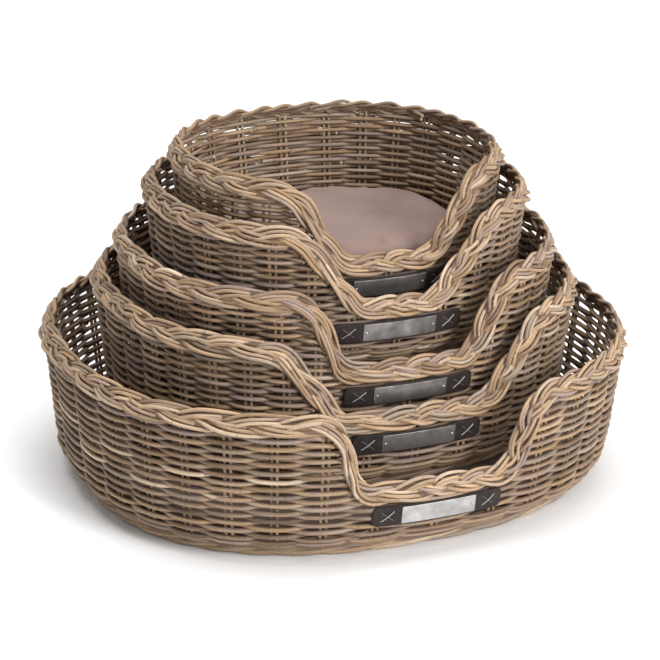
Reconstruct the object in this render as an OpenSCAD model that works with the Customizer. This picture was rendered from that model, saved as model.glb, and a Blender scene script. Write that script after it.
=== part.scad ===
// Five oval wicker pet beds, nested in a stepped stack.
// Every bed is a basket with a rolled rim, a low front entry, a name strap and a loose cushion.
// Each smaller bed stands on the cushion of the next larger one.
// Units are millimetres. +Z is up, the entries face -Y, and the largest rim runs along X.

/* [Rim lengths] */
// Outer length of the largest basket
xl_length = 890; // [875:5:920]
// Outer length of the second basket
l_length = 734; // [724:2:744]
// Outer length of the middle basket
m_length = 668; // [658:2:672]
// Outer length of the fourth basket
s_length = 582; // [572:2:588]
// Outer length of the smallest basket
xs_length = 504; // [494:2:510]
// Width of a basket as a share of its length
width_share = 0.925; // [0.90:0.005:0.94]

/* [Basket heights] */
// Height of the largest basket, floor to rim top
xl_height = 240; // [230:1:250]
// Height of the second basket
l_height = 252; // [242:1:262]
// Height of the middle basket
m_height = 242; // [232:1:252]
// Height of the fourth basket
s_height = 242; // [232:1:252]
// Height of the smallest basket
xs_height = 224; // [214:1:234]
// How far the entry dips below the rest of the rim
entry_drop = 115; // [100:1:118]

/* [Entries] */
// Level width of the largest basket's entry
xl_entry_flat = 190; // [180:2:200]
// Level width of the second basket's entry
l_entry_flat = 204; // [194:2:210]
// Level width of the middle basket's entry
m_entry_flat = 160; // [150:2:170]
// Level width of the fourth basket's entry
s_entry_flat = 92; // [84:2:100]
// Level width of the smallest basket's entry
xs_entry_flat = 116; // [108:2:124]

/* [Walls and rim] */
// Thickness of the rolled border
rim_thickness = 32; // [26:1:34]
// Thickness of the woven wall
wall_thickness = 14; // [10:1:16]
// How far the wall leans out between foot and rim at the ends of the oval
wall_lean = 22; // [14:1:26]
// Sideways size of the rounded turn between wall and foot
foot_round = 41; // [30:1:46]
// Height of the heavier band at the foot
foot_height = 16; // [14:1:22]
// Thickness of the woven floor
floor_thickness = 12; // [8:1:12]
// Spacing of the largest basket's upright stake pairs
xl_stake_spacing = 70; // [60:2:80]
// Spacing of the smaller baskets' upright stake pairs
stake_spacing = 60; // [52:2:70]
// Diameter of one upright stake
stake_d = 5; // [3:0.5:6]

/* [Cushions] */
// Thickness of the largest cushion
xl_cushion = 50; // [44:1:54]
// Thickness of the second cushion
l_cushion = 54; // [48:1:58]
// Thickness of the middle cushion
m_cushion = 64; // [56:1:68]
// Thickness of the fourth cushion
s_cushion = 54; // [48:1:58]
// Thickness of the smallest cushion
xs_cushion = 90; // [74:1:92]
// Space between a cushion and the wall around it
cushion_gap = 6; // [4:1:10]

/* [Name strap] */
// Length of the leather strap
strap_length = 200; // [180:2:206]
// Height of the leather strap
strap_height = 32; // [28:1:33]
// Thickness of the leather
strap_thickness = 3; // [2:0.5:4]
// Length of the blank steel plate
plate_length = 114; // [100:2:120]
// Height of the blank steel plate
plate_height = 27; // [22:1:28]
// Thickness of the blank steel plate
plate_thickness = 1.2; // [0.8:0.2:2]

/* [Hidden] */
SIZES = ["xl", "l", "m", "s", "xs"];
PIECES = [
    "floor", "foot_border", "stakes", "wall_weave", "rim_border",
    "label_strap", "label_plate", "plate_nails", "stitches", "cushion"
];

LENGTHS = [xl_length, l_length, m_length, s_length, xs_length];
HEIGHTS = [xl_height, l_height, m_height, s_height, xs_height];
CUSHIONS = [xl_cushion, l_cushion, m_cushion, s_cushion, xs_cushion];
STAKE_SPACINGS = [xl_stake_spacing, for (k = [1:4]) stake_spacing];
ENTRY_FLATS = [xl_entry_flat, l_entry_flat, m_entry_flat, s_entry_flat, xs_entry_flat];
// Steepest angle of the rim beside each entry; hand-made borders differ from basket to basket
ENTRY_SLOPES = [75, 54, 66, 53, 60];

// Clearances between pieces that lift off each other
rest_gap = 0.4;

// Shape of the plan outline: 2 is an ellipse, more is squarer
oval_power = 2.32;
// The rounded turn between wall and foot ends at this height
foot_round_height = 52;
// The front and back lean out this much more than the ends
broadside_lean = 1.5;
// The entry dips inwards, so this shift centres the footprint on the origin
centre_shift = -8;
// The floor sits this far above the foot's underside
floor_lift = 4;
// Radial width of the foot border
foot_width = 20;

// Bends of the rim where it dips into the entry
shoulder_radius = 44;
heel_radius = 34;

rim_r = rim_thickness / 2;
rim_sides = 8;
rim_back_stations = 44;
entry_arc_steps = 3;
entry_flat_steps = 4;
// The wall's rings on the rounded turn, as fractions of its height above the foot border
foot_fractions = [0, 0.28, 0.6, 1];

label_drop = 34;
label_standoff = 0.3;
strap_corner = 9;
corner_sides = 32;
nail_inset = 5;
nail_shank_d = 1.6;
nail_head_d = 4;
nail_head_h = 1;
nail_depth = 9;
nail_sides = 24;
// Width of the top of a nail head as a share of its rim
nail_top_share = 0.6;
stitch_d = 1.4;
stitch_span = 25;
stitch_inset = 22;
stitch_slant = 52;
stitch_sides = 16;

cushion_round = 16;
// The underside is drawn in further than the top, to clear the rounded foot of the wall
cushion_foot_inset = 26;
cushion_columns = 48;

// Height of basket i's underside: the larger baskets' floors and cushions stacked up
function base_z(i) = i == 0
    ? 0
    : base_z(i - 1) + floor_top + rest_gap + CUSHIONS[i - 1] + rest_gap;

floor_top = floor_lift + floor_thickness;

// Height of the rounded turn above the foot border
foot_turn = foot_round_height - foot_height;

// ---- Plan outlines ----

function signed_power(v, p) = v < 0 ? -pow(-v, p) : pow(v, p);

// Point of an oval with half sizes a and b at the outline angle t
function oval_point(a, b, t) = [
    a * signed_power(cos(t), 2 / oval_power),
    b * signed_power(sin(t), 2 / oval_power)
];

function oval_outline(a, b, count) = [for (k = [0:count - 1]) oval_point(a, b, 360 * k / count)];

// Half sizes of the rim's centre line
function rim_half_length(i) = LENGTHS[i] / 2 - rim_r;
function rim_half_width(i) = LENGTHS[i] * width_share / 2 - rim_r;
function rim_z(i) = HEIGHTS[i] - rim_r;

// How far the wall's centre line lies inside the rim's, at height z above the foot
function wall_inset(i, z) =
    wall_lean * (1 - z / rim_z(i))
    + foot_round * pow(max(1 - z / foot_round_height, 0), 2);
function wall_half_length(i, z) = rim_half_length(i) - wall_inset(i, z);
function wall_half_width(i, z) = rim_half_width(i) - broadside_lean * wall_inset(i, z);

// ---- Rim path ----
// The entry profile is [distance along the front, height below the rim], from the level part outwards.

function entry_straight(slope) =
    (entry_drop - (shoulder_radius + heel_radius) * (1 - cos(slope))) / sin(slope);

function heel_point(angle) = [
    heel_radius * sin(angle),
    entry_drop - heel_radius * (1 - cos(angle))
];
function shoulder_point(slope, angle) =
    heel_point(slope)
    + entry_straight(slope) * [cos(slope), -sin(slope)]
    + shoulder_radius * [sin(slope) - sin(angle), cos(slope) - cos(angle)];

function entry_profile(slope) = concat(
    [for (k = [0:entry_arc_steps]) heel_point(slope * k / entry_arc_steps)],
    [for (k = [0:entry_arc_steps]) shoulder_point(slope, slope * (1 - k / entry_arc_steps))]
);
ENTRY_PROFILES = [for (slope = ENTRY_SLOPES) entry_profile(slope)];

function entry_run(i) = ENTRY_PROFILES[i][2 * entry_arc_steps + 1][0];
function entry_half_flat(i) = ENTRY_FLATS[i] / 2;

// Outline angle, counted from the front centre, where the rim centre line has this x
function front_angle(i, x) = asin(signed_power(x / rim_half_length(i), oval_power / 2));

// Stations are [outline angle, drop below the rim], going anticlockwise from the front centre
function right_entry(i) = concat(
    [for (k = [0:entry_flat_steps - 1])
        [270 + front_angle(i, entry_half_flat(i) * k / entry_flat_steps), entry_drop]],
    [for (p = ENTRY_PROFILES[i]) [270 + front_angle(i, entry_half_flat(i) + p[0]), p[1]]]
);
function back_sweep(i) =
    let (start = front_angle(i, entry_half_flat(i) + entry_run(i)))
    [for (k = [1:rim_back_stations - 1])
        [270 + start + (360 - 2 * start) * k / rim_back_stations, 0]];
function left_entry(i) =
    let (right = right_entry(i))
    [for (k = [len(right) - 1:-1:1]) [900 - right[k][0], right[k][1]]];
function stations(i) = concat(right_entry(i), back_sweep(i), left_entry(i));

// Point of the wall's middle surface at an outline angle and a height above the foot
function wall_point(i, t, z, offset = 0) =
    let (p = oval_point(wall_half_length(i, z) + offset, wall_half_width(i, z) + offset, t))
    [p[0], p[1], z];

function rim_path(i) = [for (s = stations(i)) wall_point(i, s[0], rim_z(i) - s[1])];

// ---- Swept and lofted shells ----

function unit(v) = v / norm(v);

// Ring of points around a path station, square to the path
function tube_ring(before, here, after, r, sides) =
    let (along = unit(after - before))
    let (across = unit(cross(along, [0, 0, 1])))
    let (up = cross(across, along))
    [for (k = [0:sides - 1])
        here + r * (cos(360 * k / sides) * across + sin(360 * k / sides) * up)];

// Faces of a band of rings that closes on itself both ways
function torus_faces(rings, sides) = [
    for (j = [0:rings - 1])
        for (k = [0:sides - 1])
            let (a = j * sides + k)
            let (b = j * sides + (k + 1) % sides)
            let (c = ((j + 1) % rings) * sides + (k + 1) % sides)
            let (d = ((j + 1) % rings) * sides + k)
            each [[a, b, c], [a, c, d]]
];

// Faces of a stack of rings that is capped at both ends
function stack_faces(rings, sides) = concat(
    [for (j = [0:rings - 2])
        for (k = [0:sides - 1])
            let (a = j * sides + k)
            let (b = j * sides + (k + 1) % sides)
            each [[a, b + sides, b], [a, a + sides, b + sides]]],
    [[for (k = [0:sides - 1]) k]],
    [[for (k = [sides - 1:-1:0]) (rings - 1) * sides + k]]
);

module closed_tube(path, r, sides) {
    count = len(path);
    points = [
        for (j = [0:count - 1])
            each tube_ring(path[(j + count - 1) % count], path[j], path[(j + 1) % count], r, sides)
    ];
    polyhedron(points, torus_faces(count, sides), convexity = 8);
}

module capped_stack(rings) {
    sides = len(rings[0]);
    polyhedron([for (ring = rings) each ring], stack_faces(len(rings), sides), convexity = 4);
}

// ---- Basket pieces ----

module place(i) {
    translate([0, centre_shift, base_z(i)]) children();
}

// Half sizes of the foot border's outer and inner outlines
function foot_outer(i) = [
    wall_half_length(i, foot_height) + wall_thickness / 2,
    wall_half_width(i, foot_height) + wall_thickness / 2
];
function foot_inner(i) = foot_outer(i) - [foot_width, foot_width];

foot_points = 72;

module foot_outline(half) {
    polygon(oval_outline(half[0], half[1], foot_points));
}

module basket_floor(i) {
    color("burlywood")
    place(i)
    translate([0, 0, floor_lift])
    linear_extrude(floor_thickness)
    foot_outline(foot_inner(i));
}

module basket_foot_border(i) {
    color("peru")
    place(i)
    linear_extrude(foot_height)
    difference() {
        foot_outline(foot_outer(i));
        foot_outline(foot_inner(i));
    }
}

// Heights of the wall's rings at a station whose rim is this far down
function wall_heights(i, drop) =
    let (top = rim_z(i) - drop, bend = foot_height + foot_turn)
    concat(
        [for (f = foot_fractions) foot_height + foot_turn * f],
        [(bend + top) / 2, top]
    );

// Section through the wall at one station, outer face up and inner face down
function wall_section(i, station) =
    let (heights = wall_heights(i, station[1]))
    concat(
        [for (z = heights) wall_point(i, station[0], z, wall_thickness / 2)],
        [for (k = [len(heights) - 1:-1:0])
            wall_point(i, station[0], heights[k], -wall_thickness / 2)]
    );

module basket_wall_weave(i) {
    columns = stations(i);
    column_points = len(wall_section(i, columns[0]));
    color("tan")
    place(i)
    polyhedron(
        [for (s = columns) each wall_section(i, s)],
        torus_faces(len(columns), column_points),
        convexity = 8
    );
}

module basket_rim_border(i) {
    color("sandybrown")
    place(i)
    closed_tube(rim_path(i), rim_r, rim_sides);
}

// Upright stakes: pairs of rods inside the wall, bent once where the wall curves
stake_bend = 42;
stake_pair_gap = 3.5;
stake_sides = 4;
// How far a stake stops short of the foot border and of the rim's centre line
stake_end_gap = 2;

// An odd number, so that a cane that alternates in and out never meets itself in step
function stake_count(i) =
    2 * floor(PI * (rim_half_length(i) + rim_half_width(i)) / STAKE_SPACINGS[i] / 2) + 1;

// Drop of the rim below its full height at this x on the front side
function entry_drop_at(i, x) =
    let (d = abs(x) - entry_half_flat(i))
    d <= 0 ? entry_drop : (d >= entry_run(i) ? 0 : lookup(d, ENTRY_PROFILES[i]));

module stake_rod(i, t, side) {
    drop = sin(t) < 0 ? entry_drop_at(i, oval_point(rim_half_length(i), 1, t)[0]) : 0;
    top = rim_z(i) - drop - stake_end_gap;
    heights = [foot_height + stake_end_gap, stake_bend, top];
    ahead = wall_point(i, t + 1, top) - wall_point(i, t - 1, top);
    along = unit([ahead[0], ahead[1], 0]);
    out = [along[1], -along[0], 0];
    shift = side * (stake_d + stake_pair_gap) / 2;
    capped_stack([
        for (z = heights)
            let (centre = wall_point(i, t, z) + shift * along)
            [for (k = [0:stake_sides - 1])
                let (turn = 360 * (k + 0.5) / stake_sides)
                centre + stake_d / 2 * (cos(turn) * along - sin(turn) * out)]
    ]);
}

module basket_stakes(i) {
    count = stake_count(i);
    color("wheat")
    place(i)
    for (k = [0:count - 1], side = [-1, 1]) {
        stake_rod(i, 90 + 360 * k / count, side);
    }
}

// ---- Name strap ----

function label_z(i) = rim_z(i) - entry_drop - label_drop;

// Lean of the wall at the label, from its section just above and below
function label_lean(i) =
    let (half = strap_height / 2)
    atan((wall_half_width(i, label_z(i) + half) - wall_half_width(i, label_z(i) - half)) / strap_height);

// Steps of a label piece's curve on each side of its middle
front_steps = 6;

// How far the wall's front falls back from a flat face at this x, at the label's height
function front_sag(i, x) =
    let (a = wall_half_length(i, label_z(i)) + wall_thickness / 2)
    let (b = wall_half_width(i, label_z(i)) + wall_thickness / 2)
    b - b * pow(1 - pow(abs(x) / a, oval_power), 1 / oval_power);

// The wall's front seen from above at the label, from x = -half to half
function front_curve(i, half, offset) = [
    for (k = [-front_steps:front_steps])
        let (x = half * k / front_steps)
        [x, front_sag(i, x) - offset]
];

// Puts a flat-drawn label piece on the leaning front wall, with its middle at the wall's face
module on_front(i) {
    reach = wall_half_width(i, label_z(i)) + wall_thickness / 2 + label_standoff;
    place(i)
    translate([0, -reach, label_z(i)])
    rotate([label_lean(i), 0, 0])
    children();
}

// A strip that follows the front curve, from one offset off the wall to another
module front_strip(i, length, height, near, far) {
    outer = front_curve(i, length / 2, far);
    inner = front_curve(i, length / 2, near);
    translate([0, 0, -height / 2])
    linear_extrude(height)
    polygon(concat(outer, [for (k = [len(inner) - 1:-1:0]) inner[k]]));
}

module rounded_rectangle(w, h, r) {
    square([w - 2 * r, h], center = true);
    square([w, h - 2 * r], center = true);
    for (sx = [-1, 1], sy = [-1, 1]) {
        translate([sx * (w / 2 - r), sy * (h / 2 - r)])
        circle(r, $fn = corner_sides);
    }
}

// Depth of the cutter that rounds the strap's ends, each way from the wall's face
strap_room = 20;
// The strip that the strap is cut from is this much longer and taller
strap_spare = 2;

module basket_label_strap(i) {
    color("saddlebrown")
    on_front(i)
    intersection() {
        front_strip(i, strap_length + strap_spare, strap_height + strap_spare, 0, strap_thickness);
        rotate([90, 0, 0])
        linear_extrude(2 * strap_room, center = true)
        rounded_rectangle(strap_length, strap_height, strap_corner);
    }
}

module basket_label_plate(i) {
    color("silver")
    on_front(i)
    front_strip(i, plate_length, plate_height, strap_thickness, strap_thickness + plate_thickness);
}

module basket_plate_nails(i) {
    x = plate_length / 2 - nail_inset;
    face = strap_thickness + plate_thickness;
    color("gainsboro")
    on_front(i)
    for (side = [-1, 1]) {
        translate([side * x, front_sag(i, x) - face, 0])
        rotate([90, 0, 0]) {
            translate([0, 0, -nail_depth])
            cylinder(h = nail_depth + nail_head_h / 2, d = nail_shank_d, $fn = nail_sides);
            cylinder(h = nail_head_h, d1 = nail_head_d, d2 = nail_head_d * nail_top_share, $fn = nail_sides);
        }
    }
}

module basket_stitches(i) {
    x = strap_length / 2 - stitch_inset;
    turn = atan((front_sag(i, x + 1) - front_sag(i, x - 1)) / 2);
    color("lightgray")
    on_front(i)
    for (side = [-1, 1], slant = [-1, 1]) {
        translate([side * x, front_sag(i, x) - strap_thickness - stitch_d / 2, 0])
        rotate([0, 0, side * turn])
        rotate([0, slant * stitch_slant, 0])
        cylinder(h = stitch_span, d = stitch_d, center = true, $fn = stitch_sides);
    }
}

// ---- Cushion ----

// Half sizes of the cushion's fullest outline, clear of the inner wall at its own foot
function cushion_half(i, at) =
    let (z = floor_top + rest_gap + at)
    let (side = wall_thickness / 2 + cushion_gap)
    [wall_half_length(i, z) - side, wall_half_width(i, z) - side];

function cushion_ring(i, at, inset) =
    let (half = cushion_half(i, cushion_round))
    [for (p = oval_outline(half[0] - inset, half[1] - inset, cushion_columns)) [p[0], p[1], at]];

module basket_cushion(i) {
    top = CUSHIONS[i];
    color("rosybrown")
    place(i)
    translate([0, 0, floor_top + rest_gap])
    capped_stack([
        cushion_ring(i, 0, cushion_foot_inset),
        cushion_ring(i, cushion_round, 0),
        cushion_ring(i, top - cushion_round, 0),
        cushion_ring(i, top, cushion_round)
    ]);
}

for (i = [0:4]) {
    basket_floor(i);
    basket_foot_border(i);
    basket_stakes(i);
    basket_wall_weave(i);
    basket_rim_border(i);
    basket_label_strap(i);
    basket_label_plate(i);
    basket_plate_nails(i);
    basket_stitches(i);
    basket_cushion(i);
}
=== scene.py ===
"""Looks for the nest of five oval wicker pet beds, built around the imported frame.

Every basket is woven here from separate canes that follow the same curves as the CAD solids.
Lengths are in metres. Heights inside a basket are counted from the underside of its foot.
"""
import math

import bpy
import numpy as np
from mathutils import Matrix, Vector


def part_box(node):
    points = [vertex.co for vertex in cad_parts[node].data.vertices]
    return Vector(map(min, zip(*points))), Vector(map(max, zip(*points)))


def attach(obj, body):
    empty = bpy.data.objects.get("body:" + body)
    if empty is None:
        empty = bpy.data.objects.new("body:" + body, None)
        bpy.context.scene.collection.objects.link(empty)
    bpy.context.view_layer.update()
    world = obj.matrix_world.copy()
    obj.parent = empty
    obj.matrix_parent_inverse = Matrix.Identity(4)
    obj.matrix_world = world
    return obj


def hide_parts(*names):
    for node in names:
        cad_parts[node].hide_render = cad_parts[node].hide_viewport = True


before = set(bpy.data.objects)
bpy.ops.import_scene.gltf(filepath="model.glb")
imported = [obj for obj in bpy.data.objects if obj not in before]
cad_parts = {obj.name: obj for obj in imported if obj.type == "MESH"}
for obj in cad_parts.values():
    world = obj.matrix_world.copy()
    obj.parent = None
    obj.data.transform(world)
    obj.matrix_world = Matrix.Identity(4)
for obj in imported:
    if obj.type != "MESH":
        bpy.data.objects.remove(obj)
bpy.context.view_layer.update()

SIZES = ["xl", "l", "m", "s", "xs"]
MM = 0.001

# ---- Camera ----

CAMERA_TARGET = Vector((0.0, 0.0, 0.25))
CAMERA_DISTANCE = 3.3832
CAMERA_AZIMUTH = math.radians(-23.43)
CAMERA_ELEVATION = math.radians(20.00)
CAMERA_ROLL = math.radians(0.83)
CAMERA_LENS = 120.74
CAMERA_SHIFT = (-0.0019, -0.0415)


def make_camera():
    camera = bpy.data.objects.new("Camera", bpy.data.cameras.new("Camera"))
    bpy.context.scene.collection.objects.link(camera)
    flat = math.cos(CAMERA_ELEVATION)
    back = Vector((
        math.sin(CAMERA_AZIMUTH) * flat,
        -math.cos(CAMERA_AZIMUTH) * flat,
        math.sin(CAMERA_ELEVATION),
    ))
    turn = (-back).to_track_quat("-Z", "Y").to_matrix().to_4x4() @ Matrix.Rotation(CAMERA_ROLL, 4, "Z")
    camera.matrix_world = Matrix.Translation(CAMERA_TARGET + back * CAMERA_DISTANCE) @ turn
    camera.data.sensor_width = 36
    camera.data.lens = CAMERA_LENS
    camera.data.shift_x, camera.data.shift_y = CAMERA_SHIFT
    camera.data.clip_end = 50
    bpy.context.scene.camera = camera


make_camera()

# ---- Basket shape, as in the part's source ----

OVAL_POWER = 2.32
WIDTH_SHARE = 0.925
RIM_R = 16 * MM
WALL_HALF = 7 * MM
WALL_LEAN = 22 * MM
BROADSIDE_LEAN = 1.5
FOOT_ROUND = 41 * MM
FOOT_ROUND_HEIGHT = 52 * MM
FOOT_HEIGHT = 16 * MM
FOOT_WIDTH = 20 * MM
FLOOR_LIFT = 4 * MM
FLOOR_TOP = 16 * MM
CENTRE_SHIFT = -8 * MM
ENTRY_DROP = 115 * MM
ENTRY_FLATS = dict(xl=190 * MM, l=204 * MM, m=160 * MM, s=92 * MM, xs=116 * MM)
ENTRY_SLOPES = dict(xl=75, l=54, m=66, s=53, xs=60)
SHOULDER_RADIUS = 44 * MM
HEEL_RADIUS = 34 * MM
LABEL_DROP = 34 * MM
STRAP_LENGTH, STRAP_HEIGHT, STRAP_THICKNESS, STRAP_CORNER = 200 * MM, 32 * MM, 3 * MM, 9 * MM
PLATE_LENGTH, PLATE_HEIGHT, PLATE_THICKNESS, PLATE_CORNER = 114 * MM, 27 * MM, 1.2 * MM, 1.5 * MM
LABEL_STANDOFF = 0.3 * MM
NAIL_INSET = 5 * MM
STITCH_INSET = 22 * MM
STITCH_REACH = (9.8 * MM, 7.7 * MM)
CUSHION_GAP = 6 * MM


def signed_power(v, p):
    return np.sign(v) * np.abs(v) ** p


def oval_reach(across, a, b):
    """Half the length of an oval of half length a and half width b, at a distance across its width."""
    return a * (1 - (np.abs(across) / b) ** OVAL_POWER) ** (1 / OVAL_POWER)


def entry_profile(slope):
    """Distances along the front from the end of the level part, and the rim's drop there."""
    heel = np.linspace(0, slope, 24)
    heel_x = HEEL_RADIUS * np.sin(heel)
    heel_drop = ENTRY_DROP - HEEL_RADIUS * (1 - np.cos(heel))
    bend_drop = (SHOULDER_RADIUS + HEEL_RADIUS) * (1 - math.cos(slope))
    straight = (ENTRY_DROP - bend_drop) / math.sin(slope)
    start_x = heel_x[-1] + straight * math.cos(slope)
    start_drop = heel_drop[-1] - straight * math.sin(slope)
    top = np.linspace(slope, 0, 24)
    top_x = start_x + SHOULDER_RADIUS * (math.sin(slope) - np.sin(top))
    top_drop = start_drop + SHOULDER_RADIUS * (math.cos(slope) - np.cos(top))
    return np.concatenate([heel_x, top_x]), np.concatenate([heel_drop, top_drop])


class Basket:
    """The curves of one basket, from its CAD boxes and the sizes above."""

    def __init__(self, name, spacing):
        rim_low, rim_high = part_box(name + "_rim_border")
        foot_low, foot_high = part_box(name + "_foot_border")
        cushion_low, cushion_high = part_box(name + "_cushion")
        self.name = name
        self.body = "basket_" + name
        self.base = foot_low.z
        self.half_length = (rim_high.x - rim_low.x) / 2 - RIM_R
        self.half_width = (rim_high.x - rim_low.x) / 2 * WIDTH_SHARE - RIM_R
        self.rim_z = rim_high.z - self.base - RIM_R
        self.cushion_bottom = cushion_low.z
        self.cushion_top = cushion_high.z
        self.entry_half_flat = ENTRY_FLATS[name] / 2
        self.entry_curve = entry_profile(math.radians(ENTRY_SLOPES[name]))
        around = math.pi * (self.half_length + self.half_width)
        self.stakes = 2 * round(around / spacing / 2)
        self.label_z = self.rim_z - ENTRY_DROP - LABEL_DROP

    def halves(self, z):
        inset = WALL_LEAN * (1 - z / self.rim_z) + FOOT_ROUND * np.maximum(1 - z / FOOT_ROUND_HEIGHT, 0) ** 2
        return self.half_length - inset, self.half_width - BROADSIDE_LEAN * inset

    def wall(self, t, z, off=0.0):
        """Points of the wall's middle surface at outline angles t and heights z, moved out by off."""
        t, z = np.broadcast_arrays(np.asarray(t, float), np.asarray(z, float))
        a, b = self.halves(z)
        x = (a + off) * signed_power(np.cos(t), 2 / OVAL_POWER)
        y = (b + off) * signed_power(np.sin(t), 2 / OVAL_POWER) + CENTRE_SHIFT
        return np.stack([x, y, z + self.base], -1)

    def wall_out(self, t, z):
        """Directions square to the wall's surface, pointing out of the basket."""
        here = self.wall(t, z)
        ahead = self.wall(np.asarray(t) + 1e-4, z) - here
        above = self.wall(t, np.asarray(z) + 0.1 * MM) - here
        out = np.cross(ahead, above)
        return out / np.linalg.norm(out, axis=-1)[..., None]

    def drop(self, t):
        """How far the rim's centre line lies below its full height."""
        x = self.half_length * signed_power(np.cos(t), 2 / OVAL_POWER)
        d = np.abs(x) - self.entry_half_flat
        return np.where(np.sin(t) < 0, np.interp(d, *self.entry_curve), 0.0)

    def section_heights(self, pitch, low, high):
        """Heights between low and high that are one pitch apart along the curved wall."""
        z = np.linspace(low, high, 400)
        b = self.halves(z)[1]
        step = np.hypot(np.diff(z), np.diff(b))
        run = np.concatenate([[0], np.cumsum(step)])
        count = int(run[-1] / pitch)
        return np.interp(np.linspace(0, run[-1], count + 1), run, z)

    def front_edge(self):
        a, b = self.halves(self.label_z)
        return a + WALL_HALF, b + WALL_HALF

    def sag(self, x):
        """How far the front of the oval falls back at a distance x from its middle."""
        a, b = self.front_edge()
        return b - oval_reach(x, b, a)

    def front(self, x, out, up):
        """Points over the leaning front wall, out from it, around the label's middle."""
        half = STRAP_HEIGHT / 2
        lean = math.atan(
            (self.halves(self.label_z + half)[1] - self.halves(self.label_z - half)[1]) / STRAP_HEIGHT
        )
        y = self.sag(x) - out
        reach = self.front_edge()[1] + LABEL_STANDOFF
        return np.stack([
            x + 0 * y,
            CENTRE_SHIFT - reach + y * math.cos(lean) - up * math.sin(lean),
            self.base + self.label_z + y * math.sin(lean) + up * math.cos(lean),
        ], -1)


STAKE_SPACING = dict(xl=70 * MM, l=60 * MM, m=60 * MM, s=60 * MM, xs=60 * MM)
BASKETS = [Basket(name, STAKE_SPACING[name]) for name in SIZES]

# ---- Canes as meshes ----


def srgb(red, green, blue):
    """Linear colour from screen values of 0 to 255."""
    v = np.array([red, green, blue]) / 255
    return np.where(v <= 0.04045, v / 12.92, ((v + 0.055) / 1.055) ** 2.4)


TAN = srgb(178, 149, 118)
OCHRE = srgb(163, 133, 98)
BROWN = srgb(138, 110, 85)
GREY = srgb(148, 130, 112)
MAUVE = srgb(161, 140, 130)
DARK = srgb(104, 80, 61)
PALE = srgb(210, 188, 162)
PALETTE = np.array([TAN, OCHRE, BROWN, GREY, MAUVE, DARK, PALE])
WALL_MIX = [0.20, 0.16, 0.24, 0.20, 0.12, 0.06, 0.02]
RIM_MIX = [0.33, 0.13, 0.16, 0.14, 0.13, 0.02, 0.09]
CORE_MIX = [0.00, 0.05, 0.35, 0.00, 0.00, 0.60, 0.00]
STAKE_MIX = [0.40, 0.20, 0.25, 0.10, 0.00, 0.00, 0.05]
FOOT_MIX = [0.28, 0.08, 0.12, 0.22, 0.22, 0.00, 0.08]


def pick_tint(rng, mix):
    """A colour for one cane: a palette colour, part of another, and its own brightness."""
    first, second = rng.choice(len(PALETTE), 2, p=mix)
    share = rng.uniform(0, 0.5)
    tint = PALETTE[first] * (1 - share) + PALETTE[second] * share
    return tint * rng.uniform(0.86, 1.12)


class Canes:
    """Collects round canes and turns them into one mesh."""

    def __init__(self, sides=8):
        self.sides = sides
        self.points, self.quads, self.cane, self.tint = [], [], [], []
        self.count = 0

    def add(self, path, radius, tint, out, seed, painted_shade=None):
        """One cane along path. out is a direction that is never parallel to it, painted_shade darkens its
        sides as painted shade.
        """
        path = np.asarray(path, float)
        n, sides = len(path), self.sides
        along = np.gradient(path, axis=0)
        along /= np.linalg.norm(along, axis=1)[:, None]
        out = np.broadcast_to(out, path.shape)
        across = np.cross(along, out)
        across /= np.linalg.norm(across, axis=1)[:, None]
        up = np.cross(across, along)
        run = np.concatenate([[0], np.cumsum(np.linalg.norm(np.diff(path, axis=0), axis=1))])
        angle = np.arange(sides) * 2 * math.pi / sides
        ring = np.cos(angle)[None, :, None] * across[:, None, :]
        ring = ring + np.sin(angle)[None, :, None] * up[:, None, :]
        radius = np.broadcast_to(radius, n)
        body = path[:, None, :] + ring * radius[:, None, None]
        caps = np.stack([body[0], body[-1]])
        self.points.append(np.concatenate([body.reshape(-1, 3), caps.reshape(-1, 3)]))

        j, k = np.meshgrid(np.arange(n - 1), np.arange(sides), indexing="ij")
        a = j * sides + k
        b = j * sides + (k + 1) % sides
        side_quads = np.stack([a, b, b + sides, a + sides], -1).reshape(-1, 4)
        h = np.arange(sides // 2 - 1)
        cap = np.stack([h, h + 1, sides - 2 - h, sides - 1 - h], -1)
        first, last = n * sides, (n + 1) * sides
        quads = np.concatenate([side_quads, first + cap[:, ::-1], last + cap])
        self.quads.append(quads + self.count)

        flat = np.stack(np.broadcast_arrays(
            run[:, None] + seed * 40, np.cos(angle)[None, :] * 0.004, np.sin(angle)[None, :] * 0.004
        ), -1)
        ends = np.stack([flat[0], flat[-1]])
        self.cane.append(np.concatenate([flat.reshape(-1, 3), ends.reshape(-1, 3)]))
        tint = np.broadcast_to(tint, (n, 3))
        # Painted shade: each side of the cane is darkened by the given function, where its neighbours would
        # shade it
        painted_shade_factor = np.ones(sides) if painted_shade is None else 1 - painted_shade(angle)
        colours = (tint[:, None, :] * painted_shade_factor[None, :, None]).reshape(-1, 3)
        cut = np.broadcast_to(PALE * 1.1, (2 * sides, 3))
        colours = np.concatenate([colours, cut])
        self.tint.append(np.concatenate([colours, np.full((len(colours), 1), seed)], 1))
        self.count += len(self.points[-1])

    def build(self, name, material):
        piece = mesh_piece(name, np.concatenate(self.points), np.concatenate(self.quads), material)
        mesh = piece.data
        mesh.attributes.new("cane", "FLOAT_VECTOR", "POINT").data.foreach_set(
            "vector", np.concatenate(self.cane).astype(np.float32).ravel()
        )
        # The tint attribute holds each cane's colour, with painted shade on its sides where it was given
        mesh.attributes.new("tint", "FLOAT_COLOR", "POINT").data.foreach_set(
            "color", np.concatenate(self.tint).astype(np.float32).ravel()
        )
        return piece


def side_painted_shade(angle):
    """Painted shade: darker above and below, where a row of the wall touches its neighbours and lies in their
    shade.
    """
    return WALL_PAINTED_SHADE * np.sin(angle) ** 2


def back_painted_shade(angle):
    """Painted shade: darker on every side but the outer one, where the plait's canes lie in each other's
    shade.
    """
    return RIM_PAINTED_SHADE * (1 - np.maximum(np.sin(angle), 0)) ** 1.5


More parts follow.
